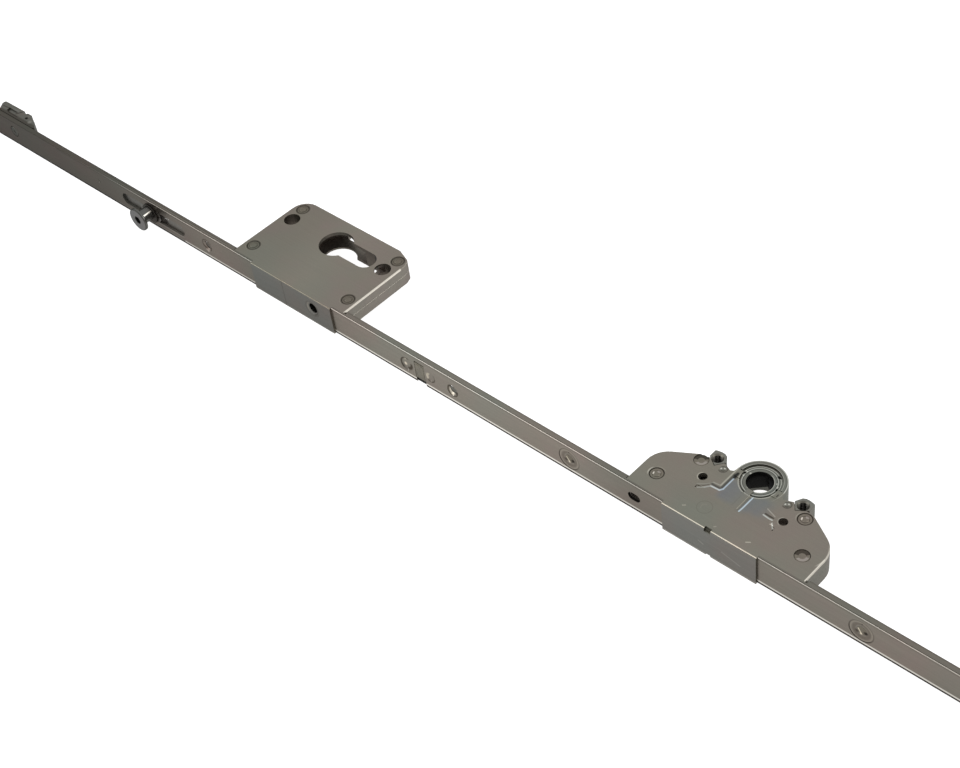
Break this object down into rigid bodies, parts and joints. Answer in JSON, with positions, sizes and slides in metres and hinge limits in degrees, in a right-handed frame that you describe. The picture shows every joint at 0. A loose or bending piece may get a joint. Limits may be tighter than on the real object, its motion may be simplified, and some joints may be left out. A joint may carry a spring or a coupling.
{
  "type": "patio door lock",
  "caption": "Patio door lock: face rail with drive rod, mushroom locking cam, profile cylinder case and handle gearbox with square socket.",
  "frame": {"origin": "on the axis of the square spindle socket, at half the width of the rail face", "axes": "+X along the rail away from the lock case, +Z along the spindle axis out of the handle side, +Y away from the rail face into the door"},
  "size_m": [0.67, 0.0575, 0.0163],
  "materials": {
    "sheet_steel": "zinc plated sheet, brushed",
    "cast_zinc": "die-cast housing, satin",
    "rod_steel": "bright drawn steel",
    "dark_steel": "darker plated steel",
    "fastener_steel": "turned steel",
    "brass_bush": "turned bearing ring",
    "clip_plastic": "moulded clip"
  },
  "bodies": {
    "case": {"faceplate": "sheet_steel", "gearbox_cover": "sheet_steel", "gearbox_upper_housing": "cast_zinc", "gearbox_lower_housing": "cast_zinc", "gearbox_rivets": "fastener_steel", "handle_nuts": "fastener_steel", "follower_bush": "brass_bush", "detent_spring": "rod_steel", "lock_cover": "sheet_steel", "lock_upper_case": "cast_zinc", "lock_lower_case": "cast_zinc", "lock_rivets": "fastener_steel", "lock_pins": "fastener_steel", "lever_spring": "rod_steel", "guide_studs": "fastener_steel", "stop_clip": "clip_plastic", "end_bracket": "cast_zinc", "bracket_screw": "dark_steel"},
    "rod": {"drive_rod": "rod_steel", "rod_link": "rod_steel", "rod_rack": "rod_steel", "rod_lug": "rod_steel", "cam_base": "dark_steel", "cam_washer": "dark_steel", "rod_rivets": "fastener_steel"},
    "cam": {"locking_cam": "dark_steel"},
    "follower": {"handle_follower": "dark_steel"},
    "slide": {"blocking_slide": "rod_steel"},
    "lever": {"cylinder_lever": "rod_steel"}
  },
  "joints": [
    {"name": "rod_slide", "type": "slide", "parent": "case", "child": "rod", "axis": [1, 0, 0], "range_m": [-0.015, 0.015]},
    {"name": "handle_turn", "type": "hinge", "parent": "case", "child": "follower", "pos_m": [0, 0, 0], "axis": [0, 0, 1], "range_deg": [-90, 90]},
    {"name": "cam_turn", "type": "hinge", "parent": "rod", "child": "cam", "pos_m": [-0.3613, -0.0328, 0], "axis": [0, -1, 0], "range_deg": [-90, 90]},
    {"name": "block_slide", "type": "slide", "parent": "case", "child": "slide", "axis": [0, -1, 0], "range_m": [0, 0.004]},
    {"name": "lever_swing", "type": "hinge", "parent": "case", "child": "lever", "pos_m": [-0.277, -0.0068, 0], "axis": [0, 0, 1], "range_deg": [-6, 0]}
  ],
  "couplings": [
    {"joint": "handle_turn", "follows": "rod_slide", "rad_per_m": 104.72}
  ]
}
